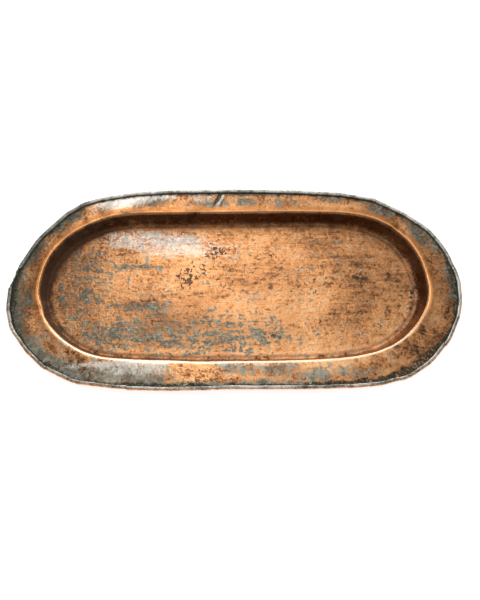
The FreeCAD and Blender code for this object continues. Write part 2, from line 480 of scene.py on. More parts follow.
# Patches laid on the sheet, in millimetres and degrees: x, y, half length, half width,
# turn, and how strongly the place is covered, where less than 0 keeps it clear.
TIN = [
    # rim, round the left end
    (-240, 98, 46, 13, 40, 1.0),
    (-284, 45, 50, 14, 65, 1.1),
    (-297, -5, 32, 12, 85, 1.1),
    (-292, -50, 32, 15, -75, 1.1),
    (-266, -92, 42, 18, -50, 0.95),
    (-218, -122, 50, 18, -25, 1.0),
    (-145, -125, 66, 19, -3, 1.08),
    (-280, -20, 24, 12, 80, 0.8),
    # rim, along the front
    (5, -116, 34, 12, 0, 0.95),
    (60, -116, 30, 10, 0, 0.92),
    (10, -137, 130, 8, 0, 1.0),
    (104, -124, 28, 11, 0, 0.95),
    (155, -120, 28, 9, 5, 0.9),
    # rim, round the right end
    (296, 15, 62, 10, 92, 0.95),
    (255, 80, 30, 13, -48, 0.9),
    (282, 55, 22, 9, -60, 0.8),
    (203, 115, 28, 9, -22, 0.85),
    # rim, along the back
    (138, 129, 26, 6, -5, 0.8),
    (70, 124, 24, 8, 0, 0.7),
    (22, 125, 24, 9, 0, 0.72),
    (-36, 125, 36, 12, 0, 0.75),
    (-119, 128, 34, 10, 3, 0.8),
    (-185, 122, 24, 8, 18, 0.6),
    (0, 139, 190, 5, 0, 0.85),
    # floor
    (-134, -22, 50, 7, 0, 0.85),
    (-138, 36, 45, 4, 0, 0.8),
    (-72, 73, 35, 4, 0, 0.75),
    (127, 74, 38, 3, 0, 0.7),
    (-75, -62, 160, 28, 0, 0.9),
    (-215, 0, 65, 42, 90, 0.62),
    (-110, 75, 60, 14, 0, 0.6),
]
SOOT = [
    (235, -112, 60, 16, 30, 0.8),
    (298, -42, 45, 7, 78, 0.5),
    (298, 10, 40, 7, 90, 0.5),
    (165, -137, 65, 8, 3, 0.75),
    (60, -142, 90, 4, 0, 0.6),
    (-120, -140, 90, 6, 0, 0.55),
    (-240, -122, 60, 7, -32, 0.6),
    (-290, -75, 40, 8, -60, 0.5),
    (-303, -10, 40, 9, 90, 0.6),
    (-272, 72, 46, 5, 50, 0.45),
    # A painted shade along the crease on the back rim.
    (-26, 128, 13, 2.4, 60, 1.7),
    (104, 11, 30, 22, 0, 0.25),
    (-178, -58, 14, 12, 0, 0.3),
]
PITS = [
    (-65, 21, 22, 18, 40, 0.9),
    (-28, 57, 18, 9, 0, 0.85),
    (173, 21, 18, 8, 0, 0.85),
    (78, -6, 16, 6, 80, 0.75),
    (44, 51, 14, 8, 0, 0.65),
    (205, -28, 14, 8, 0, 0.65),
    (53, -66, 12, 6, 0, 0.75),
    (104, 11, 34, 24, 0, 0.45),
    (-10, 35, 60, 40, 0, 0.4),
    (140, -50, 60, 30, 0, 0.4),
]
# Painted highlights: whitish patches standing for the sheen and glints of the lamps on the rim and the
# floor's back left, and a bright line beside the back crease.
PAINTED_HIGHLIGHTS = [
    (-155, 127, 44, 10, 10, 1.15),
    (-115, 134, 36, 7, 2, 0.8),
    (-145, -109, 70, 5, 2, 1.0),
    (-130, -116, 46, 8, 0, 0.8),
    (-50, 131, 24, 6, 0, 0.6),
    (-21, 129, 12, 2.4, 60, 1.1),
    (-102, 72, 90, 18, -6, 0.9),
    (-40, -104, 80, 3, 0, 0.5),
    (20, -108, 50, 4, 0, 0.6),
]
BROWN = [
    (-225, 88, 46, 13, 38, 0.8),
    (-268, 20, 40, 12, 75, 0.6),
    (-262, -55, 26, 10, -60, 0.5),
    (228, -92, 60, 18, 35, 0.7),
    # Rows below zero lighten: along the front rim this is painted light.
    (-60, -112, 60, 8, 0, -0.3),
    (110, -112, 60, 9, 0, -0.5),
    (270, 60, 40, 16, -58, 0.3),
    (275, -40, 40, 12, 75, 0.3),
    # A painted shade, dimming the bright patch of the lamp at the back left on the rim.
    (-196, 112, 40, 10, 22, 0.9),
    (-120, 118, 30, 7, 5, 0.4),
    (263, -60, 18, 12, 50, -0.75),
]
STIPPLE = [
    (-50, -122, 34, 14, 0, 1.0),
    (-10, -128, 22, 8, 0, 0.7),
]
PATCHES = {
    "tin": TIN,
    "soot": SOOT,
    "pits": PITS,
    "pale": PAINTED_HIGHLIGHTS,
    "brown": BROWN,
    "stipple": STIPPLE,
}


def patches(plan, rows):
    """How much each place is covered by the patches: the strongest of them counts."""
    found = np.zeros(len(plan))
    for x, y, length, width, turn, amount in rows:
        turn = math.radians(turn)
        gap = plan / MM - (x, y)
        u = (gap[:, 0] * math.cos(turn) + gap[:, 1] * math.sin(turn)) / length
        v = (gap[:, 1] * math.cos(turn) - gap[:, 0] * math.sin(turn)) / width
        cover = amount * np.exp(-((u * u + v * v) ** 1.5) * 0.7)
        found = np.where(abs(cover) > abs(found), cover, found)
    return found


def named(graph, name):
    return graph.node("GeometryNodeInputNamedAttribute", {"data_type": "FLOAT"}, {"Name": name})


def relief_tree(material):
    """Hammer marks and broad waves, pressed into the sheet along its normals."""
    numbers = ("Mark spacing", "Mark depth", "Wave length", "Wave depth", "Seed")
    graph, given = new_tree("hammer_relief", numbers)
    place = graph.node("GeometryNodeInputPosition") + vector(graph, z=given["Seed"])
    free = named(graph, "edge_gap").step(5 * MM, 16 * MM)
    inset = named(graph, "inset")
    on_floor = inset.step(9 * MM, 20 * MM)
    off_lip = (inset - 1.5 * MM).size().step(2 * MM, 8 * MM) * 0.9 + 0.1
    spacing = given["Mark spacing"]
    curl = raw_noise(graph, place, 1.3 / spacing, detail=1.5, distort=0.9)
    marks = graph.node(
        "ShaderNodeTexVoronoi",
        {"feature": "SMOOTH_F1"},
        {"Vector": place, "Scale": 1.0 / spacing, "Smoothness": 0.6},
    )
    waves = raw_noise(graph, place, 1.0 / given["Wave length"], detail=1.0)
    press = (curl * 1.2 + marks * 0.6 - 0.6 + on_floor * 0.3) * given["Mark depth"]
    press = press * off_lip * (0.45 + on_floor * 0.55)
    sway = (waves - 0.5 + on_floor * 0.2) * given["Wave depth"] * (1 - on_floor * 0.7)
    lift = (press + sway) * free
    lift = lift + (lift.larger(0) - lift) * on_floor
    offset = graph.node("GeometryNodeInputNormal") * lift
    return close_tree(graph, moved(graph, given["Geometry"], offset), material)


# Dents beaten into the sheet by use, in millimetres: x, y, radius, and depth.
DENTS = [
    (-158, 104, 7, 1.3),
    (40, 109, 6, 1.2),
    (230, 86, 5, 1.0),
    (238, 78, 4, 0.9),
    (-190, 112, 14, 0.9),
    (-60, 122, 16, -0.7),
    (120, 125, 18, 0.8),
    (-150, -122, 13, 0.9),
    (-100, -124, 12, -0.8),
    (-45, -122, 13, 0.7),
    (30, -124, 15, -0.8),
    (90, -122, 14, 0.8),
    (150, -119, 14, -0.7),
    (285, 30, 14, 0.7),
    (280, -30, 16, -0.8),
    (-285, 20, 15, 0.9),
    (-275, -60, 14, -0.7),
]
# Creases: the two ends of each, x, y, x, y, its half width, and its depth.
CREASES = [
    (-19, 139, -32, 117, 1.8, 1.6),
    (-12, 138, -27, 117, 1.8, -1.0),
    (-300, -30, -262, -32, 3.0, 0.8),
    (-150, -78, -60, -82, 2.5, 0.3),
]
FOOT_LIFT = 0.7 * MM  # the foot of the wall is rounder than a plain bend by this much
FOOT_WIDTH = 4.5 * MM
KINK = (-262, -31, 11, 2.2)  # where the mouth was knocked in: x, y, radius, and how far


def beaten(plan, height, gap):
    """The sheet's heights with the dents and creases in it, faded out at the folded edge."""
    fade = np.clip((gap - 4 * MM) / (6 * MM), 0, 1)
    drop = np.zeros(len(plan))
    for x, y, radius, depth in DENTS:
        square = ((plan / MM - (x, y)) ** 2).sum(1) / radius**2
        drop += depth * MM * np.exp(-square)
    for x1, y1, x2, y2, width, depth in CREASES:
        start, end = np.array((x1, y1)), np.array((x2, y2))
        run = end - start
        length = np.linalg.norm(run)
        away = plan / MM - start
        along = (away @ run) / length**2
        off = (away[:, 0] * run[1] - away[:, 1] * run[0]) / length
        ends = np.clip(along * 5, 0, 1) * np.clip((1 - along) * 5, 0, 1)
        drop += depth * MM * np.exp(-((off / width) ** 2)) * ends
    return height - drop * fade


def kinked(plan):
    """The plan with the mouth knocked inwards at the kink."""
    x, y, radius, depth = KINK
    square = ((plan / MM - (x, y)) ** 2).sum(1) / radius**2
    push = depth * MM * np.exp(-square)
    return plan + np.stack([push, np.zeros(len(plan))], axis=1)


def raise_sheet(props):
    """The whole sheet as one closed, hammered shell."""
    bm, plan, faces, inset, gap, off_foot = sheet_plan()
    height = dropped(bm, plan, inset)
    bm.free()
    height = beaten(plan, height, gap) + FOOT_LIFT * np.exp(-((off_foot / FOOT_WIDTH) ** 2))
    plan = kinked(plan)
    mesh = bpy.data.meshes.new("raised_sheet")
    mesh.from_pydata(np.column_stack([plan, height]).tolist(), [], faces)
    layers = {"inset": inset, "edge_gap": gap, "off_foot": off_foot}
    for name, rows in PATCHES.items():
        layers[name] = patches(plan, rows)
    for name, values in layers.items():
        layer = mesh.attributes.new(name, "FLOAT", "POINT")
        layer.data.foreach_set("value", values.astype(np.float32))
    source = linked("raised_sheet_plan", mesh)
    sizes = {
        "Mark spacing": props.mark_spacing,
        "Mark depth": props.mark_depth,
        "Wave length": props.wave_length,
        "Wave depth": props.wave_depth,
        "Seed": float(props.seed),
    }
    sheet = grown(source, relief_tree(worn_copper(props)), sizes, "raised_sheet")
    sheet.data.materials.append(scaled_underside(props))
    sheet.data.shade_smooth()
    wall = sheet.modifiers.new("thickness", "SOLIDIFY")
    wall.thickness = SHEET
    wall.offset = -1
    wall.material_offset = 1
    wall.use_even_offset = False
    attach(sheet, "root")
    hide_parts(SHEET_NODE)


# ---- The folded edge

# The folded strip's section: how far out from the sheet's border, and how far above the rim, in
# millimetres, anticlockwise from the end of the leg under the rim.
STRIP_SECTION = [
    (-5, -1.95), (-2.5, -1.9), (0, -1.95), (1.2, -1.75), (2.2, -1.0), (2.75, 0.2), (2.85, 1.4),
    (2.55, 2.5), (1.9, 3.3), (1.0, 3.65), (0, 3.7), (-1.0, 3.6), (-1.8, 3.1), (-2.25, 2.2),
    (-2.3, 1.2), (-2.25, 0.35), (-1.65, 0.35), (-1.66, 1.2), (-1.58, 2.0), (-1.2, 2.7),
    (-0.5, 3.05), (0.4, 3.12), (1.2, 2.75), (1.8, 2.1), (2.1, 1.2), (2.0, 0.1), (1.5, -0.75),
    (0.8, -1.15), (0, -1.25), (-2.5, -1.25), (-5, -1.25),
]
TORN_SECTION = [
    (-5, -1.95), (-2.5, -1.9), (0, -1.95), (1.2, -1.75), (2.2, -1.0), (2.75, 0.2), (2.85, 1.4),
    (2.8, 2.2), (2.2, 2.2), (2.1, 1.2), (2.0, 0.1), (1.5, -0.75), (0.8, -1.15), (0, -1.25),
    (-2.5, -1.25), (-5, -1.25),
]
PATH_STEP = 2.0 * MM
TEAR_DEPTH = 4.0 * MM
COPPER_FROM = 1.7 * MM  # a strip shows copper further out from the border than this
TORN_COPPER_FROM = 4 * MM
# The strips by the torn place, which stand out of line, in strip steps outwards.
PROUD = {"edge_strip_left_middle": 2.2, "edge_strip_left_torn": -2.0, "edge_strip_left_upper": 0}


def strip_tree(material):
    """A section carried along a path, then dented by the hammer."""
    numbers = ("Sideways", "Dent size", "Dent depth", "Tear depth", "Tear height", "Seed")
    graph, given = new_tree("folded_strip", numbers, {"Section": "NodeSocketObject"})
    path = graph.node("GeometryNodeSetCurveNormal", {"mode": "Z_UP"}, {"Curve": given["Geometry"]})
    section = {"Object": given["Section"]}
    section = graph.node("GeometryNodeObjectInfo", None, section, out="Geometry")
    out = axes(graph, graph.node("GeometryNodeInputPosition"))[0]
    section = graph.node(
        "GeometryNodeStoreNamedAttribute",
        {"data_type": "FLOAT", "domain": "POINT"},
        {"Geometry": section, "Name": "out", "Value": out},
    )
    section = moved(graph, section, vector(graph, x=given["Sideways"]))
    swept = {"Curve": path, "Profile Curve": section, "Fill Caps": True}
    swept = graph.node("GeometryNodeCurveToMesh", None, swept)
    here = graph.node("GeometryNodeInputPosition")
    place = here + vector(graph, z=given["Seed"])

    def wobble(size, shift):
        return raw_noise(graph, place + shift, 1.0 / size, detail=1.0, out="Color")

    broad = (wobble(given["Dent size"], 3.0) - 0.5) * given["Dent depth"]
    fine = (wobble(given["Dent size"] * 0.35, 9.0) - 0.5) * given["Dent depth"] * 0.6
    torn = axes(graph, here)[2].step(given["Tear height"], given["Tear height"] + 1.0 * MM)
    torn_by = given["Tear depth"] * torn
    ragged = raw_noise(graph, place, 4.0 / given["Dent size"])
    tear = vector(graph, x=(ragged - 0.5) * torn_by * 1.8, z=(ragged - 0.55) * torn_by)
    return close_tree(graph, moved(graph, swept, broad + fine + tear), material)


def section_curve(name, points):
    """A closed curve object for a section, lying flat, with its top towards -Y."""
    curve = bpy.data.curves.new(name, "CURVE")
    curve.dimensions = "2D"
    spline = curve.splines.new("POLY")
    spline.points.add(len(points) - 1)
    for point, (out, above) in zip(spline.points, reversed(points)):
        point.co = (out * MM, -above * MM, 0, 1)
    spline.use_cyclic_u = True
    return linked(name, curve)


def border_path(name, border, first, last):
    """An open path along the sheet's border between two distances along it."""
    curve = bpy.data.curves.new(name, "CURVE")
    curve.dimensions = "3D"
    spline = curve.splines.new("POLY")
    count = max(int((last - first) / PATH_STEP), 4)
    places = on_loop(border, np.linspace(first, last, count + 1))
    spline.points.add(count)
    for point, (x, y) in zip(spline.points, places):
        point.co = (x, y, RIM_TOP, 1)
    return linked(name, curve)


def strip_span(border, node):
    """Where a CAD strip starts and ends, as distances along the border."""
    total = run_lengths(border)[-1]
    co = np.array([v.co[:2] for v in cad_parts[node].data.vertices])
    at = np.array([nearest_on(border, p) for p in co[:: max(len(co) // 400, 1)]])
    ends = np.array([nearest_on(border, p) for p in (co[0], co[-1])])
    at = np.concatenate([at, ends])
    middle = np.angle(np.exp(2j * np.pi * at / total).mean()) / (2 * np.pi) * total
    away = (at - middle + total / 2) % total - total / 2
    return middle + away.min(), middle + away.max()


def fold_strips(props, finish):
    """Every strip of the folded edge, each a section carried along its part of the border."""
    bm = merged_copy(SHEET_NODE)
    border = level_loops(bm, RIM_TOP)[0]
    bm.free()
    whole = section_curve("strip_section", STRIP_SECTION)
    part = section_curve("torn_section", TORN_SECTION)
    tree = strip_tree(tinned_strip(finish, "tinned_strip", COPPER_FROM))
    torn_tree = strip_tree(tinned_strip(finish, "torn_strip", TORN_COPPER_FROM))
    for number, node in enumerate(STRIP_NODES):
        first, last = strip_span(border, node)
        torn = node == TORN_STRIP
        sizes = {
            "Section": part if torn else whole,
            "Sideways": PROUD.get(node, math.sin(2.4 * number)) * props.strip_step,
            "Dent size": props.dent_size,
            "Dent depth": props.dent_depth,
            "Tear depth": TEAR_DEPTH if torn else 0.0,
            "Tear height": RIM_TOP + 1.0 * MM,
            "Seed": float(number),
        }
        path = border_path(node + "_path", border, first, last)
        name = node.replace("edge_strip", "folded_strip")
        strip = grown(path, torn_tree if torn else tree, sizes, name)
        strip.data.shade_smooth()
        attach(strip, "root")
        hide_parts(node)
    for section in (whole, part):
        bpy.data.objects.remove(section)


def lay_wires():
    """The wires stay as they are, and get their rusty iron."""
    iron = rusty_iron()
    for node in WIRE_NODES:
        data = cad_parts[node].data
        data.materials.clear()
        data.materials.append(iron)


# ---- The rivets


def rivet_tree(material):
    """One beaten head on each point, turned and sized at random."""
    numbers = ("Head radius", "Head height", "Roughness")
    graph, given = new_tree("rivet_heads", numbers, {"Seed": "NodeSocketInt"})
    ball = graph.node("GeometryNodeMeshIcoSphere", None, {"Radius": 1.0, "Subdivisions": 4})
    lumps = raw_noise(graph, graph.node("GeometryNodeInputPosition"), 1.6, out="Color")
    lumpy = moved(graph, ball, (lumps - 0.5) * given["Roughness"])
    size = vector(graph, given["Head radius"], given["Head radius"], given["Head height"])

    def drawn(kind, low, high):
        values = {"Min": low, "Max": high, "Seed": given["Seed"]}
        return graph.node("FunctionNodeRandomValue", {"data_type": kind}, values, out="Value")

    turn = drawn("FLOAT_VECTOR", (0, 0, 0), (0, 0, 2 * math.pi))
    grow = drawn("FLOAT", 0.8, 1.15)
    heads = {"Points": given["Geometry"], "Instance": lumpy, "Rotation": turn, "Scale": size * grow}
    heads = graph.node("GeometryNodeInstanceOnPoints", None, heads)
    return close_tree(graph, heads, material)


def set_rivets(props):
    """A lumpy head over each CAD rivet."""
    bm = merged_copy(RIVET_NODE)
    left = set(bm.verts)
    middles = []
    while left:
        group, edge = set(), [next(iter(left))]
        while edge:
            v = edge.pop()
            if v not in group:
                group.add(v)
                edge += [e.other_vert(v) for e in v.link_edges]
        left -= group
        co = np.array([v.co[:2] for v in group])
        middles.append(tuple((co.min(0) + co.max(0)) / 2))
    bm.free()
    mesh = bpy.data.meshes.new("rivet_points")
    mesh.from_pydata([(x, y, FLOOR_TOP + props.rivet_lift) for x, y in sorted(middles)], [], [])
    sizes = {
        "Head radius": props.rivet_radius,
        "Head height": props.rivet_height,
        "Roughness": 0.35,
        "Seed": 4,
    }
    tree = rivet_tree(green_tarnish(props))
    heads = grown(linked("rivet_points", mesh), tree, sizes, "rivet_heads")
    heads.data.shade_smooth()
    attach(heads, "root")
    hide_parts(RIVET_NODE)


# ---- Materials


BURNT_SPOT = (0.07, 0.038, 0.02)
DULLED_COPPER = (0.12, 0.06, 0.03)
# Lighter tin for the painted light on the front rim.
PAINTED_LIT_TIN = (0.62, 0.62, 0.5)
GRIMY_TIN = (0.05, 0.052, 0.036)
OLIVE_TIN = (0.06, 0.064, 0.048)
# Whitish colour of the painted highlights.
HIGHLIGHT_WHITE = (0.92, 0.84, 0.74)
EARTH = (0.085, 0.08, 0.052)
# Dark brown of the wall, for its soiling and its painted shade.
WALL_DIRT_AND_SHADE_COLOUR = (0.045, 0.021, 0.011)
# Pink of the painted highlight along the foot of the wall.
PINK_FOOT_HIGHLIGHT = (0.5, 0.32, 0.25)
FOOT_SHADE = (0.16, 0.07, 0.03)
RED_BROWN = (0.45, 0.17, 0.05)
PIT_EDGE = (0.075, 0.077, 0.082)
PIT_BOTTOM = (0.022, 0.022, 0.025)
# Cream of the painted highlight along the mouth.
LIP_HIGHLIGHT_CREAM = (1.0, 0.84, 0.62)


class SheetGround:
    """What every layer on the sheet is worked out from: where a place lies, and its noises."""

    def __init__(self, graph, where):
        self.inset = attribute(graph, "inset")
        self.off_foot = attribute(graph, "off_foot")
        self.on_floor = self.inset.step(12 * MM, 16 * MM)
        self.on_rim = 1 - self.on_floor
        self.x, self.y = axes(graph, where)[:2]
        self.right = self.x.step(-200 * MM, 0)
        self.front = (0 - self.y).step(20 * MM, 100 * MM)
        self.back = self.y.step(20 * MM, 90 * MM)
        self.left_end = (0 - self.x).step(150 * MM, 240 * MM) * (1 - self.front * 0.6)
        self.back_left = self.left_end * (0.2 + self.y.step(-25 * MM, 40 * MM) * 0.8)
        self.stipple = attribute(graph, "stipple").step(0.3, 0.8)
        self.blotch = noise(graph, where, 6 * MM, detail=5, rough=0.62, distort=0.8)
        self.curl = noise(graph, where, 7 * MM, detail=2.5, distort=1.6)
        self.fine = noise(graph, where, 1.6 * MM, detail=4, rough=0.65)
        self.dots = noise(graph, where, 1.3 * MM, detail=1.5)
        self.patchy = noise(graph, where, 15 * MM, rough=0.55, distort=0.5)
        drawn_out = stretched(graph, where, (0.13, 1, 1))
        self.streak = noise(graph, drawn_out, 2.6 * MM, detail=4, rough=0.6)


def tarnished(graph, where, on, props):
    """Bare copper, from burnt spots through brown to rubbed bright, with painted light and shade on the
    floor.
    """
    broad = noise(graph, where, 45 * MM, detail=2)
    worm = 1 - (on.curl * 2 - 1).size() * 3.0
    mottle = (on.blotch - 0.5) * 0.35 + (on.curl - 0.5) * 0.25 + (worm - 0.5) * 0.04
    mottle = mottle + (on.fine - 0.5) * (0.42 - on.on_floor * 0.12)
    mottle = mottle + (on.streak - 0.5) * on.on_floor * 0.4 + (on.patchy - 0.5) * on.on_rim * 0.45
    tone = 0.555 + mottle * (1 - on.right * on.on_floor * 0.25) + (broad - 0.5) * 0.3
    # Painted light and shade: the floor is painted lighter towards the front and darker towards the right
    # end.
    tone = tone + on.on_floor * (on.front * 0.05 - on.x.step(50 * MM, 200 * MM) * 0.03)
    tone = tone - attribute(graph, "brown") * (0.055 + on.patchy * 0.07)
    tone = tone + (on.dots - 0.44) * on.stipple * 0.4
    shades = (0.47, props.copper_dark), (0.545, props.copper), (0.65, props.copper_light)
    return ramp(tone, (0.38, BURNT_SPOT), *shades)


def tinned(graph, where, on, props, colour):
    """Grey remains of tin laid over the copper, with painted light on the front rim. Returns the colour,
    and where the tin is.
    """
    grain = (on.blotch - 0.5) * 2.2 + (on.streak - 0.5) * on.on_floor * 2.2 + (on.curl - 0.5) * 2.0
    grain = grain + (on.patchy - 0.5) * on.on_rim * 1.2 + (on.fine - 0.5) * 0.7
    covered = attribute(graph, "tin") * 0.8 + grain + 0.14 - on.right * on.on_floor * 0.08
    covered = covered - on.stipple * 0.3
    dark, light = [c * 0.3 for c in props.tin], [min(c * 3.0, 1) for c in props.tin]
    tin_tone = on.fine * 0.55 + on.blotch * 0.45
    tin_colour = ramp(tin_tone, (0.36, dark), (0.5, props.tin), (0.66, light))
    # Painted light: the tin on the front rim is painted lighter.
    tin_colour = mix(on.on_rim * on.front * 0.3, tin_colour, PAINTED_LIT_TIN)
    grimy_end = (0 - on.x).step(150 * MM, 260 * MM) * on.y.step(-70 * MM, 0)
    tin_colour = mix(grimy_end * 0.6, tin_colour, GRIMY_TIN)
    soft = noise(graph, where, 9 * MM, detail=5, rough=0.7)
    olive = (soft - 0.5).step(-0.02, 0.1) * (0.6 - on.on_floor * 0.2)
    tin_colour = mix(olive, tin_colour, OLIVE_TIN)
    # The copper round the tin is dulled less at the front, as painted light.
    colour = mix(covered.step(0.1, 0.7) * (0.35 - on.front * 0.27), colour, DULLED_COPPER)
    tin = covered.step(0.36, 0.98)
    return mix(tin * 0.92, colour, tin_colour), tin


def rubbed(graph, on, colour):
    """Streaky whitish patches of painted highlight, standing for the sheen of the lamps on the rim and
    floor.
    """
    pale = attribute(graph, "pale") + (on.blotch - 0.5) * 1.2 + (on.fine - 0.5) * 1.6
    pale = (pale + (on.streak - 0.5) * on.on_floor * 2).step(0.2, 1.15)
    return mix(pale * (1 - on.on_floor * 0.1) * 0.75, colour, HIGHLIGHT_WHITE)


def sooted(graph, on, props, soot_grain, colour):
    """Soot, a ragged, flaking dirty band by the folded edge, and a black painted shadow right under the
    roll. Returns the colour and where these darken it.
    """
    gap = attribute(graph, "edge_gap")
    soot_here = attribute(graph, "soot")
    soot = (soot_here * 0.7 + (soot_grain - 0.5) * 2.6 + (on.fine - 0.5) * 0.8).step(0.35, 1.0)
    band = gap - soot_here * 11 * MM + (soot_grain - 0.5) * 24 * MM
    band = 1 - band.step(1.5 * MM, 6.5 * MM)
    flaked = (on.fine + (on.blotch - 0.5) * 1.2).step(0.54, 0.7)
    dirt_and_shade = (soot * 0.8).larger(band * 0.97 * (1 - flaked * 0.8))
    # A painted shadow: a black line on the rim right under the rolled edge.
    roll_shadow = 1 - gap.step(2.9 * MM, 3.7 * MM)
    dirt_and_shade = dirt_and_shade.larger(roll_shadow)
    dirt_colour = mix(on.fine.step(0.35, 0.65), props.soot, EARTH)
    return mix(dirt_and_shade * 0.95, colour, dirt_colour), dirt_and_shade


def dirty_and_shaded_wall(on, soot_grain, colour):
    """Soiling and painted shade on the wall, heaviest at the back and the left end, fading into the floor
    at its foot; a pink painted highlight along the foot; and painted shade on the floor below the back
    wall and left end. Returns the colour and where the wall is darkened.
    """
    # Painted shade and soiling on the wall, reaching further down at the back left and less far at the
    # front.
    ragged = on.off_foot + (soot_grain - 0.5) * 22 * MM + (on.fine - 0.5) * 10 * MM
    ragged = ragged - on.back_left * 7 * MM + on.front * 4 * MM
    dirt_and_shade = on.inset.step(2 * MM, 4 * MM) * (1 - ragged.step(-6 * MM, 5 * MM))
    colour = mix(dirt_and_shade * 0.87, colour, WALL_DIRT_AND_SHADE_COLOUR)
    # A painted highlight: a speckled pink line along the foot of the wall, strongest at the right.
    foot = near(on.off_foot, 1.5 * MM, 1 * MM, 4 * MM)
    foot = foot * (on.fine + (on.blotch - 0.5)).step(0.42, 0.62)
    foot = foot * (1 - on.back) * (1 - on.left_end) * (0.15 + on.right * 0.35)
    colour = mix(foot, colour, PINK_FOOT_HIGHLIGHT)
    shaded = 1 - (on.off_foot + (on.blotch - 0.5) * 20 * MM).step(4 * MM, 14 * MM)
    shaded = shaded * on.off_foot.step(-6 * MM, -1 * MM) * on.back.larger(on.back_left)
    return mix(shaded * 0.6, colour, FOOT_SHADE), dirt_and_shade


def pitted(graph, where, on, colour):
    """Small dark pits eaten into the floor. Returns the colour and the pits."""
    scab = noise(graph, where, 3 * MM, detail=4, rough=0.6, distort=0.6)
    eaten = (scab - 0.5) * 4.2 + (on.blotch - 0.5) * 1.4 + attribute(graph, "pits")
    specks = (on.fine - 0.5) * 1.5 + (scab - 0.5) * 0.6
    pit = (eaten.step(0.8, 1.25) * on.on_floor).larger(specks.step(0.33, 0.42) * on.on_floor * 0.8)
    return mix(pit * 0.85, colour, mix(eaten.step(1.05, 1.4), PIT_EDGE, PIT_BOTTOM)), pit


def worn_copper(props):
    """Tarnished copper with grey-green remains of tinning, soot, scratches and pits, and with painted
    highlights and painted shade.
    """
    material, graph, shader, where = new_material("worn_copper")
    on = SheetGround(graph, where)
    soot_grain = noise(graph, where, 10 * MM, detail=5, rough=0.65)
    colour, tin = tinned(graph, where, on, props, tarnished(graph, where, on, props))
    colour, dirt_and_shade = sooted(graph, on, props, soot_grain, rubbed(graph, on, colour))
    colour, wall_dirt_and_shade = dirty_and_shaded_wall(on, soot_grain, colour)
    burnt = near(on.inset, -2.5 * MM, 1.5 * MM, 6 * MM) * (1 - on.front)
    colour, pit = pitted(graph, where, on, mix(burnt * 0.6, colour, RED_BROWN))
    # A painted highlight: a band along the mouth painted cream at the front, and plain copper elsewhere.
    lip_highlight = near(on.inset, 1 * MM, 0.5 * MM, 1.7 * MM)
    lip_highlight_colour = mix(on.front, props.copper, LIP_HIGHLIGHT_CREAM)
    colour = mix(lip_highlight * (0.7 + on.front * 0.3), colour, lip_highlight_colour)

    rough = 0.32 + tin * 0.08 + (on.fine - 0.5) * 0.25 + dirt_and_shade * 0.2 - lip_highlight * 0.1
    rough = rough + near(on.off_foot, 0, 2 * MM, 6 * MM) * 0.2 + wall_dirt_and_shade * on.left_end * 0.25
    metal = 1 - dirt_and_shade * 0.25 - tin * 0.35 - wall_dirt_and_shade * on.left_end * 0.5
    scratch = stretched(graph, where, (0.04, 1, 1), turn=0.03)
    scratch = noise(graph, scratch, 0.8 * MM)
    curly = (1 - on.right * 0.65) * (1 - on.on_rim * 0.35)
    relief = (on.blotch * 0.4 + on.curl * 0.5) * curly * (0.4 + on.on_floor * 0.6)
    relief = relief + on.fine * (0.1 + on.on_floor * 0.15)
    relief = relief + scratch * on.on_floor * 0.2 - pit * 0.4 + on.dots * on.stipple * 0.3
    relief = relief * (1 - near(on.inset, 1.5 * MM, 1.5 * MM, 4 * MM) * 0.9)
    normal = bumped(graph, relief, 1.8 * MM, 0.85)
    dress(graph, shader, Base_Color=colour, Roughness=rough, Metallic=metal, Normal=normal)
    return material


def scaled_underside(props):
    """The underside: dark fire scale, rubbed back to brown copper on the high marks."""
    material, graph, shader, where = new_material("scaled_underside")
    blotch = noise(graph, where, 12 * MM, detail=5, rough=0.6, distort=0.6)
    height = blotch * 0.7 + noise(graph, where, 2.5 * MM, detail=4) * 0.3
    rub = height.step(0.42, 0.62)
    dress(
        graph,
        shader,
        Base_Color=mix(rub, (0.05, 0.03, 0.02), props.copper_dark),
        Roughness=0.62 - rub * 0.2,
        Metallic=0.5 + rub * 0.45,
        Normal=bumped(graph, height, 0.7 * MM, 0.7),
    )
    return material


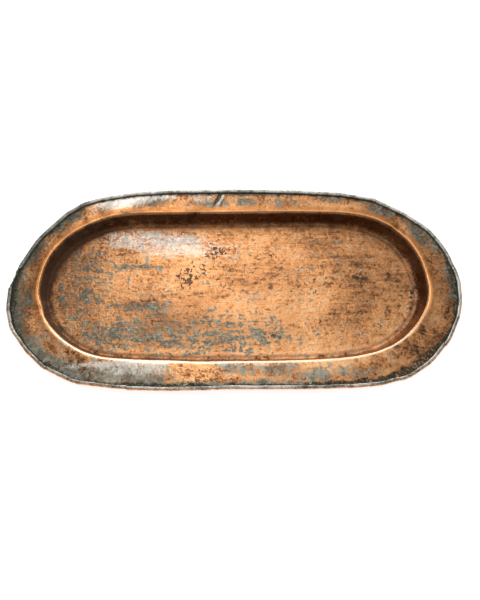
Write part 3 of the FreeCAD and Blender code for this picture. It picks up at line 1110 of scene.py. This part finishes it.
def tinned_strip(props, name, copper_from):
    """The folded strips: tin on top, a dark seam along them, copper further out than that, and painted
    shadow on their inner side.
    """
    material, graph, shader, where = new_material(name)
    out = attribute(graph, "out")
    x, y = axes(graph, where)[:2]
    broad = noise(graph, where, 22 * MM, detail=2)
    lumps = noise(graph, where, 5 * MM, detail=4, rough=0.65)
    fine = noise(graph, where, 1.2 * MM, detail=4, rough=0.6)
    drift = (lumps - 0.5) * 1.6 * MM + (broad - 0.5) * 2.5 * MM
    front = (0 - y).step(20 * MM, 110 * MM)
    left = (0 - x).step(60 * MM, 200 * MM)
    copper_side = out - copper_from + front * (0.5 + left * 0.6) * MM + drift
    copper_side = copper_side.step(-0.25 * MM, 0.25 * MM)
    grey = (0.38, (0.07, 0.07, 0.055)), (0.46, (0.36, 0.355, 0.32)), (0.56, (0.86, 0.85, 0.8))
    grey = ramp(broad * 0.4 + lumps * 0.3 + fine * 0.3, *grey)
    copper = (0.36, (0.1, 0.045, 0.02)), (0.47, props.copper), (0.6, props.copper_light)
    copper = ramp(lumps * 0.6 + fine * 0.4, *copper)
    seam = near(out + drift * 0.4, -0.3 * MM, 0.15 * MM, 0.6 * MM) * (0.5 + front * 0.2)
    # A painted shadow: the strip's inner side, facing the gap over the rim, is darkened.
    inner = 1 - out.step(-2.25 * MM, -1.3 * MM)
    grimy_end = (0 - x).step(150 * MM, 250 * MM) * y.step(-80 * MM, 0)
    grime_and_shadow = seam.larger(inner * 0.85) + (0.5 - fine) * 0.4
    grime_and_shadow = grime_and_shadow.larger(grimy_end * (0.95 - lumps * 0.6))
    grime_and_shadow_colour = mix(lumps, (0.02, 0.022, 0.015), (0.16, 0.165, 0.115))
    dress(
        graph,
        shader,
        Base_Color=mix(grime_and_shadow, mix(copper_side, grey, copper), grime_and_shadow_colour),
        Roughness=0.38 + (fine - 0.5) * 0.3 + grime_and_shadow * 0.15,
        Metallic=0.9 - grime_and_shadow * 0.5,
        Normal=bumped(graph, lumps * 0.6 + fine * 0.4, 0.9 * MM, 0.8),
    )
    return material


def rusty_iron():
    """The wire's iron, rusty in flakes."""
    material, graph, shader, where = new_material("rusty_iron")
    flakes = noise(graph, where, 1.5 * MM, detail=5, rough=0.65)
    rust = flakes.step(0.42, 0.6)
    dress(
        graph,
        shader,
        Base_Color=mix(rust, (0.09, 0.085, 0.08), (0.18, 0.07, 0.03)),
        Roughness=0.5 + rust * 0.35,
        Metallic=0.9 - rust * 0.85,
        Normal=bumped(graph, flakes, 0.3 * MM, 0.5),
    )
    return material


def green_tarnish(props):
    """The rivet heads: almost black, green on their lumps."""
    material, graph, shader, where = new_material("green_tarnish")
    lumps = noise(graph, where, 1.2 * MM, detail=4, rough=0.6)
    dress(
        graph,
        shader,
        Base_Color=mix(lumps.step(0.4, 0.62), (0.02, 0.03, 0.025), props.tarnish),
        Roughness=0.45 + lumps * 0.3,
        Metallic=0.35,
        Normal=bumped(graph, lumps, 0.4 * MM, 0.6),
    )
    return material


def pale_floor(colour, glow):
    """A matt white floor that gives off a little light."""
    material, graph, shader, _ = new_material("pale_floor")
    dress(graph, shader, Base_Color=colour, Roughness=0.9)
    dress(graph, shader, Emission_Color=(1, 1, 1), Emission_Strength=glow)
    return material


# ---- The stage


CAMERA_AIM = Vector((0.6, -3.8, 25)) * MM
FLOOR_RINGS = [(6, 0), (9, 0.3), (12, 1.5), (14, 4)]  # radius and height, in metres
FLOOR_SIDES = 48


def set_camera(props):
    """A camera looking down on the tray from the front."""
    data = bpy.data.cameras.new("camera")
    data.lens = props.lens
    data.shift_x = props.shift_right
    data.shift_y = -props.shift_down
    camera = linked("camera", data)
    back = Vector((0, -math.cos(props.elevation), math.sin(props.elevation)))
    camera.location = CAMERA_AIM + back * props.distance
    camera.rotation_euler = (-back).to_track_quat("-Z", "Y").to_euler()
    bpy.context.scene.camera = camera


def soft_light(name, place, aim, size, watts):
    """A rectangular white light at place, turned to aim."""
    data = bpy.data.lights.new(name, "AREA")
    data.shape = "RECTANGLE"
    data.size, data.size_y = size
    data.energy = watts
    light = linked(name, data)
    light.location = place
    light.rotation_euler = (Vector(aim) - Vector(place)).to_track_quat("-Z", "Y").to_euler()


def set_stage(props):
    """The camera, the light from all round, three soft lights and the floor."""
    scene = bpy.context.scene
    scene.view_settings.view_transform = "Standard"
    set_camera(props)
    world = bpy.data.worlds.new("studio")
    scene.world = world
    world.use_nodes = True
    background = world.node_tree.nodes["Background"]
    background.inputs["Color"].default_value = (1, 1, 1, 1)
    background.inputs["Strength"].default_value = props.ambient
    soft_light("back_left", (-0.22, 0.5, 1.0), (-0.05, 0, 0), (0.3, 0.25), props.key_watts)
    soft_light("behind", (0, 1.4, 0.55), (0, 0, 0.1), (2.6, 0.9), props.back_watts)
    soft_light("above", (0.0, 0.3, 1.05), (0, 0, 0), (0.74, 1.0), props.fill_watts)
    curved_floor(props)


def curved_floor(props):
    """A flat round floor whose rim curves up."""
    turns = np.linspace(0, 2 * np.pi, FLOOR_SIDES, endpoint=False)
    ring = np.stack([np.cos(turns), np.sin(turns)], axis=1)
    rings = [np.column_stack([ring * r, np.full(FLOOR_SIDES, h)]) for r, h in FLOOR_RINGS]
    faces = [list(range(FLOOR_SIDES))]
    for start in range(0, (len(rings) - 1) * FLOOR_SIDES, FLOOR_SIDES):
        for n in range(FLOOR_SIDES):
            low, ahead = start + n, start + (n + 1) % FLOOR_SIDES
            faces.append([low, low + FLOOR_SIDES, ahead + FLOOR_SIDES, ahead])
    mesh = bpy.data.meshes.new("floor")
    mesh.from_pydata(np.vstack(rings).tolist(), [], faces)
    mesh.materials.append(pale_floor(props.floor_colour, props.floor_glow))
    return linked("floor", mesh)


# ---- Settings, operators and panel


class TraySheetSettings(PropertyGroup):
    mark_spacing: FloatProperty(
        name="Mark spacing", description="Distance between hammer marks", default=8 * MM, unit="LENGTH"
    )
    mark_depth: FloatProperty(
        name="Mark depth", description="Depth of the hammer marks", default=0.5 * MM, unit="LENGTH"
    )
    wave_length: FloatProperty(
        name="Wave length", description="Length of the broad unevenness", default=40 * MM, unit="LENGTH"
    )
    wave_depth: FloatProperty(
        name="Wave depth", description="Depth of the broad unevenness", default=2.4 * MM, unit="LENGTH"
    )
    seed: IntProperty(name="Seed", description="Which pattern of marks", default=3)
    copper: FloatVectorProperty(
        name="Copper", description="Middle tone of the copper", subtype="COLOR",
        default=(0.68, 0.30, 0.115), min=0, max=1,
    )
    copper_light: FloatVectorProperty(
        name="Light copper", description="Where the copper is rubbed bright", subtype="COLOR",
        default=(0.93, 0.51, 0.24), min=0, max=1,
    )
    copper_dark: FloatVectorProperty(
        name="Dark copper", description="Where the copper is tarnished", subtype="COLOR",
        default=(0.29, 0.14, 0.065), min=0, max=1,
    )
    tin: FloatVectorProperty(
        name="Tin", description="Remains of the tinning", subtype="COLOR",
        default=(0.15, 0.155, 0.12), min=0, max=1,
    )
    soot: FloatVectorProperty(
        name="Soot", description="Dirt by the edge and on the wall", subtype="COLOR",
        default=(0.016, 0.015, 0.01), min=0, max=1,
    )


class TrayEdgeSettings(PropertyGroup):
    dent_size: FloatProperty(
        name="Dent size", description="Length of the dents in the strips", default=14 * MM, unit="LENGTH"
    )
    dent_depth: FloatProperty(
        name="Dent depth", description="Depth of the dents in the strips", default=1.3 * MM, unit="LENGTH"
    )
    strip_step: FloatProperty(
        name="Strip step", description="How far the strips lie in or out of line",
        default=0.5 * MM, unit="LENGTH",
    )


class TrayRivetSettings(PropertyGroup):
    rivet_radius: FloatProperty(
        name="Head radius", description="Radius of a rivet's head", default=2.3 * MM, unit="LENGTH"
    )
    rivet_height: FloatProperty(
        name="Head height", description="Half thickness of a rivet's head", default=1.0 * MM, unit="LENGTH"
    )
    rivet_lift: FloatProperty(
        name="Head lift", description="How high the head's middle lies above the floor",
        default=0.8 * MM, unit="LENGTH",
    )
    tarnish: FloatVectorProperty(
        name="Tarnish", description="Green of the tarnished heads", subtype="COLOR",
        default=(0.09, 0.15, 0.11), min=0, max=1,
    )


class TrayStageSettings(PropertyGroup):
    elevation: FloatProperty(
        name="Elevation", description="Height of the camera above the horizon",
        default=math.radians(70), subtype="ANGLE",
    )
    distance: FloatProperty(
        name="Distance", description="From the camera to the tray", default=0.95, unit="LENGTH"
    )
    lens: FloatProperty(name="Lens", description="Focal length in millimetres", default=42.12)
    shift_right: FloatProperty(
        name="Shift right", description="Sideways shift of the view", default=0.0075
    )
    shift_down: FloatProperty(name="Shift down", description="Downward shift of the view", default=0.02)
    ambient: FloatProperty(name="Ambient", description="Light from all round", default=0.3)
    key_watts: FloatProperty(
        name="Back left light", description="Power of the light behind the left end",
        default=0.75, unit="POWER",
    )
    back_watts: FloatProperty(
        name="Light behind", description="Power of the light behind the tray", default=11.0, unit="POWER"
    )
    fill_watts: FloatProperty(
        name="Light above", description="Power of the light above", default=2.6, unit="POWER"
    )
    floor_colour: FloatVectorProperty(
        name="Floor", description="Colour of the floor", subtype="COLOR",
        default=(0.9, 0.9, 0.9), min=0, max=1,
    )
    floor_glow: FloatProperty(
        name="Floor glow", description="Light that the floor gives off", default=0.75
    )


class TRAY_OT_raise_sheet(Operator):
    """Raise the hammered sheet: floor, wall and rim"""

    bl_idname = "tray.raise_sheet"
    bl_label = "Raise the sheet"

    def execute(self, context):
        raise_sheet(context.scene.tray_sheet)
        return {"FINISHED"}


class TRAY_OT_fold_strips(Operator):
    """Fold the tinned strips round the border"""

    bl_idname = "tray.fold_strips"
    bl_label = "Fold the edge strips"

    def execute(self, context):
        fold_strips(context.scene.tray_edge, context.scene.tray_sheet)
        return {"FINISHED"}


class TRAY_OT_lay_wires(Operator):
    """Give the wires inside the edge their rusty iron"""

    bl_idname = "tray.lay_wires"
    bl_label = "Lay the wires"

    def execute(self, context):
        lay_wires()
        return {"FINISHED"}


class TRAY_OT_set_rivets(Operator):
    """Set the repair rivets at the foot of the wall"""

    bl_idname = "tray.set_rivets"
    bl_label = "Set the rivets"

    def execute(self, context):
        set_rivets(context.scene.tray_rivets)
        return {"FINISHED"}


class TRAY_OT_set_stage(Operator):
    """Set up the floor, the soft light and the camera"""

    bl_idname = "tray.set_stage"
    bl_label = "Set the stage"

    def execute(self, context):
        set_stage(context.scene.tray_stage)
        return {"FINISHED"}


SETTINGS = {
    "tray_sheet": TraySheetSettings,
    "tray_edge": TrayEdgeSettings,
    "tray_rivets": TrayRivetSettings,
    "tray_stage": TrayStageSettings,
}
OPERATORS = [
    TRAY_OT_set_stage,
    TRAY_OT_raise_sheet,
    TRAY_OT_fold_strips,
    TRAY_OT_lay_wires,
    TRAY_OT_set_rivets,
]


class TRAY_PT_panel(Panel):
    """Every step of making the tray, with its settings"""

    bl_label = "Hammered tray"
    bl_idname = "TRAY_PT_panel"
    bl_space_type = "VIEW_3D"
    bl_region_type = "UI"
    bl_category = "Tray"

    def draw(self, context):
        for operator in OPERATORS:
            self.layout.operator(operator.bl_idname)
        for name, group in SETTINGS.items():
            box = self.layout.box()
            for field in group.__annotations__:
                box.prop(getattr(context.scene, name), field)


def register():
    for group in (*SETTINGS.values(), *OPERATORS, TRAY_PT_panel):
        bpy.utils.register_class(group)
    for name, group in SETTINGS.items():
        setattr(bpy.types.Scene, name, PointerProperty(type=group))


def unregister():
    for name in SETTINGS:
        delattr(bpy.types.Scene, name)
    for group in (TRAY_PT_panel, *reversed(OPERATORS), *SETTINGS.values()):
        bpy.utils.unregister_class(group)


def main():
    register()
    for operator in OPERATORS:
        area, name = operator.bl_idname.split(".")
        getattr(getattr(bpy.ops, area), name)()


if __name__ == "__main__":
    main()
